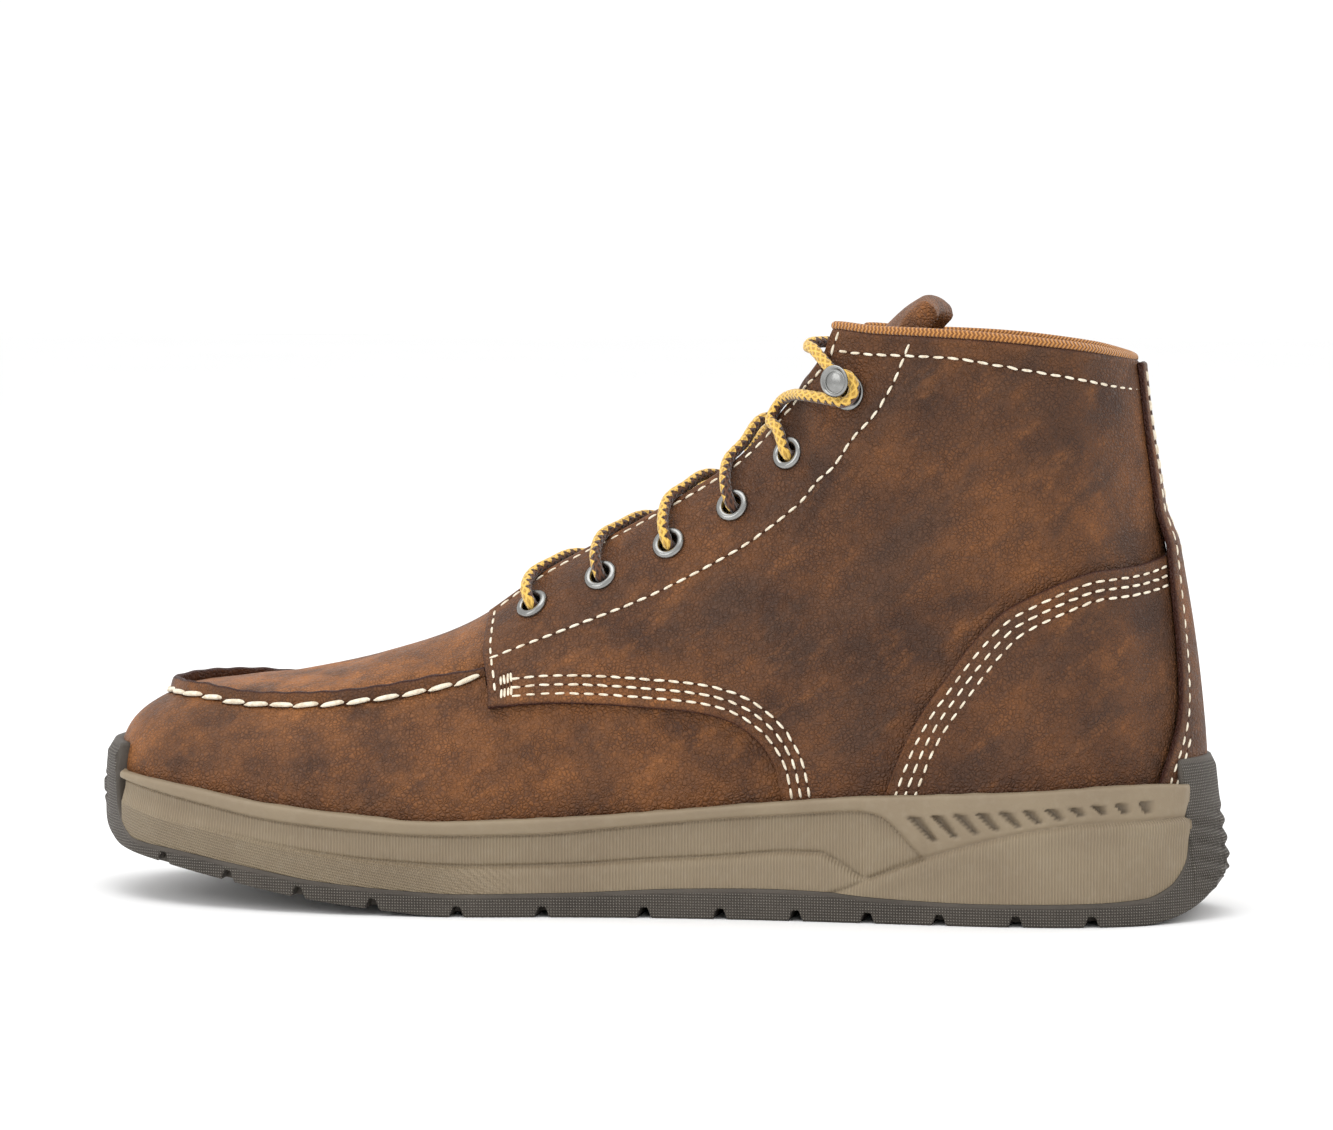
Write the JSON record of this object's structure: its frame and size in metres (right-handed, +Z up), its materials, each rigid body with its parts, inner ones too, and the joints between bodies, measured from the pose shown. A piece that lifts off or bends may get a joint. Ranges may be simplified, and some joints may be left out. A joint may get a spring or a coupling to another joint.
{
  "type": "steel toe work boot",
  "caption": "Ankle-high brown leather lace-up work boot for a right foot, with a moccasin toe over a steel cap, a wedge-style two-part sole, eyelets and lace hooks.",
  "frame": {"origin": "on the ground under the middle of the boot's overall length, on the line from the tip of the toe to the middle of the heel", "axes": "+X towards the heel, -X towards the toe, -Y the medial side, +Y the lateral side, +Z up from the ground"},
  "size_m": [0.3095, 0.1116, 0.1632],
  "materials": {
    "rubber": "matte moulded rubber",
    "midsole_foam": "matte moulded foam",
    "shank_steel": "plain steel strip",
    "fibreboard": "pressed fibreboard",
    "foam": "open-cell foam",
    "footbed_cloth": "knitted cloth",
    "cap_steel": "lacquered steel",
    "edge_strip": "soft rubber",
    "counter_board": "thermoplastic stiffener",
    "brown_leather": "oiled pull-up leather, fine grain",
    "facing_leather": "split leather",
    "thread": "waxed thread",
    "piping_knit": "knitted tape",
    "lining_cloth": "mesh lining",
    "nickel": "worn nickel plate",
    "lace_cord": "braided, two colours",
    "aglet_plastic": "heat-shrunk plastic"
  },
  "bodies": {
    "boot": {"outsole": "rubber", "midsole": "midsole_foam", "shank": "shank_steel", "insole_board": "fibreboard", "steel_toe_cap": "cap_steel", "toe_cap_edge_strip": "edge_strip", "heel_counter": "counter_board", "ankle_padding": "foam", "vamp": "brown_leather", "toe_plug": "brown_leather", "moc_seam_thread": "thread", "quarter_medial": "brown_leather", "quarter_lateral": "brown_leather", "heel_panel_medial": "brown_leather", "heel_panel_lateral": "brown_leather", "backstay": "brown_leather", "collar_piping": "piping_knit", "vamp_lining": "lining_cloth", "ankle_lining": "lining_cloth", "eyestay_facing_medial": "facing_leather", "eyestay_facing_lateral": "facing_leather", "eyelets_medial": "nickel", "eyelets_lateral": "nickel", "lace_hook_medial": "nickel", "lace_hook_lateral": "nickel", "lace": "lace_cord", "aglets": "aglet_plastic"},
    "tongue": {"tongue_leather": "brown_leather", "tongue_foam": "foam", "tongue_lining": "lining_cloth"},
    "footbed": {"footbed_foam": "foam", "footbed_cover": "footbed_cloth"}
  },
  "joints": [
    {"name": "tongue_fold", "type": "hinge", "parent": "boot", "child": "tongue", "pos_m": [-0.037, 0, 0.066], "axis": [0, 1, 0], "range_deg": [0, 12]},
    {"name": "footbed_lift", "type": "hinge", "parent": "boot", "child": "footbed", "pos_m": [-0.142, 0, 0.0284], "axis": [0, -1, 0], "range_deg": [0, 8]}
  ]
}
